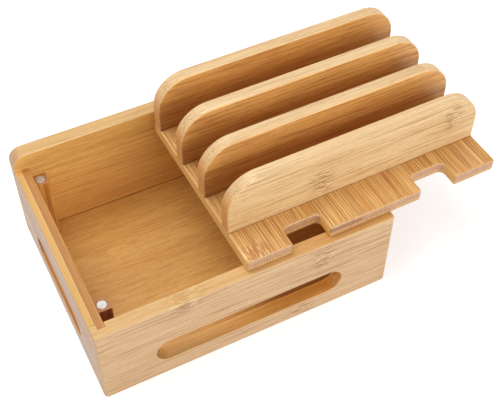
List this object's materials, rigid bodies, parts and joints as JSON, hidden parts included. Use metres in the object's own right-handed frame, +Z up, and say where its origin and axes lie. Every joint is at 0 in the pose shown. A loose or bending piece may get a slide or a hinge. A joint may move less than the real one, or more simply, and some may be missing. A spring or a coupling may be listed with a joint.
{
  "type": "charging station organizer",
  "caption": "Bamboo box for a charger and its cables, with cable slots in its walls and a loose lid with upright dividers for phones and tablets.",
  "frame": {"origin": "middle of the box's underside", "axes": "+X to the right along the box, +Y to the back, +Z up"},
  "size_m": [0.348, 0.1914, 0.1388],
  "materials": {
    "panel_bamboo": "satin lacquer over natural bamboo",
    "outer_ply_bamboo": "satin lacquer over natural bamboo",
    "inner_ply_bamboo": "satin lacquer over natural bamboo",
    "base_bamboo": "satin lacquer over natural bamboo",
    "post_bamboo": "satin lacquer over natural bamboo",
    "plate_bamboo": "satin lacquer over natural bamboo",
    "divider_bamboo": "satin lacquer over natural bamboo",
    "magnet": "bright nickel plate",
    "screw": "bright zinc plate"
  },
  "bodies": {
    "box": {"front_panel": "panel_bamboo", "back_panel": "panel_bamboo", "left_side_outer_ply": "outer_ply_bamboo", "left_side_inner_ply": "inner_ply_bamboo", "right_side_outer_ply": "outer_ply_bamboo", "right_side_inner_ply": "inner_ply_bamboo", "base_board": "base_bamboo", "front_left_post": "post_bamboo", "front_right_post": "post_bamboo", "rear_left_post": "post_bamboo", "rear_right_post": "post_bamboo", "front_left_post_magnet": "magnet", "front_right_post_magnet": "magnet", "rear_left_post_magnet": "magnet", "rear_right_post_magnet": "magnet"},
    "lid": {"lid_plate": "plate_bamboo", "front_divider": "divider_bamboo", "third_divider": "divider_bamboo", "second_divider": "divider_bamboo", "rear_divider": "divider_bamboo", "front_left_lid_magnet": "magnet", "front_right_lid_magnet": "magnet", "rear_left_lid_magnet": "magnet", "rear_right_lid_magnet": "magnet", "divider_screws": "screw"}
  },
  "joints": [
    {"name": "lid_lift", "type": "slide", "parent": "box", "child": "lid", "axis": [0, 0, 1], "range_m": [0, 0.12]}
  ]
}
